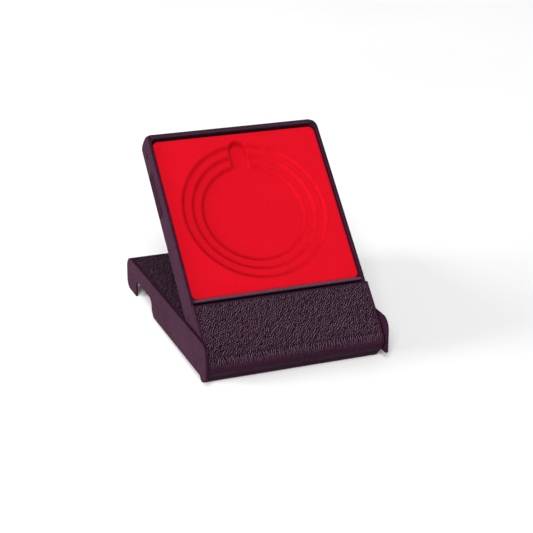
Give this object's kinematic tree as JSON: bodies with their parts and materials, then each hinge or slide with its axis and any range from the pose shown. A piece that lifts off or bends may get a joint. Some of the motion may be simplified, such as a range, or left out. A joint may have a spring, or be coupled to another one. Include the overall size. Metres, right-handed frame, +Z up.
{
  "type": "hinged medal presentation case",
  "caption": "Open easel-type presentation case for a round medal: a leather-grain cover forms the foot and a tray with a flocked stepped recess leans on it.",
  "frame": {"origin": "centre of the footprint, on the surface the open case stands on", "axes": "+X to the right seen from the front, along the hinge; +Y from the tray's foot to the back of the cover; +Z up"},
  "size_m": [0.09, 0.1256, 0.0915],
  "materials": {
    "cover_plastic": "moulded leather grain on the top plate, satin smooth side walls, dark aubergine",
    "tray_plastic": "smooth satin moulded plastic, dark aubergine",
    "hood_plastic": "moulded leather grain, dark aubergine",
    "red_flock": "short bright red flock",
    "grey_board": "plain grey card"
  },
  "bodies": {
    "cover": {"cover_shell": "cover_plastic"},
    "tray": {"tray_shell": "tray_plastic", "tray_hood": "hood_plastic", "flocked_insert": "red_flock", "insert_backing": "grey_board", "hinge_pin_left": "tray_plastic", "hinge_pin_right": "tray_plastic"}
  },
  "joints": [
    {"name": "tray_hinge", "type": "hinge", "parent": "cover", "child": "tray", "pos_m": [0, -0.05111, 0.01399], "axis": [1, 0, 0], "range_deg": [0, 315]}
  ]
}
